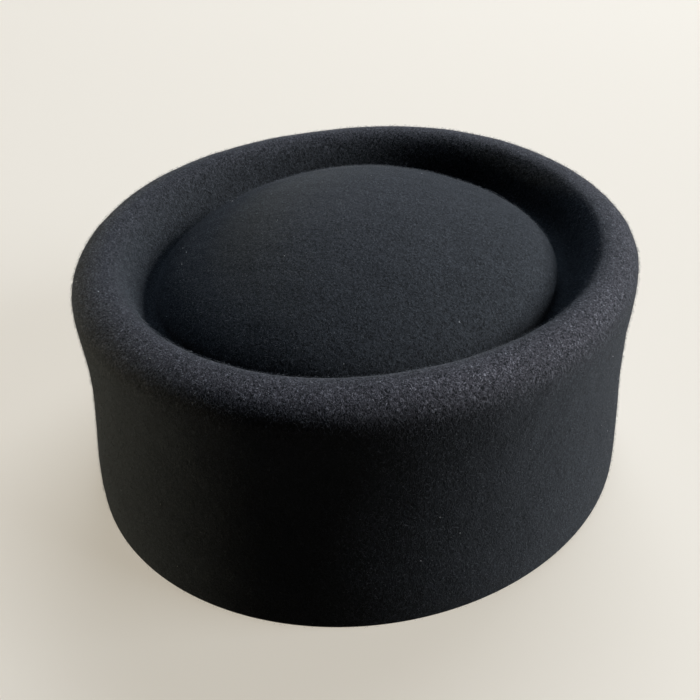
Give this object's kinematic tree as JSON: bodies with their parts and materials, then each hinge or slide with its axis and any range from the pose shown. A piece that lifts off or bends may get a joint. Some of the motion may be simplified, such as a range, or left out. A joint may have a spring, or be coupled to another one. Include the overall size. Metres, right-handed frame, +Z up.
{
  "type": "pillbox hat",
  "caption": "Hollow oval pillbox hat blocked from one black wool felt body, with a waisted wall, a soft rolled upper edge, a groove inside it and a domed tip.",
  "frame": {"origin": "on the floor, under the middle of the head opening", "axes": "+Y from front to back, the long way of the head opening; +X across the head; +Z up from the hem to the tip"},
  "size_m": [0.1788, 0.1932, 0.0928],
  "materials": {
    "black_felt": "matte black wool felt with a short even nap"
  },
  "bodies": {
    "root": {"felt_body": "black_felt"}
  },
  "joints": []
}
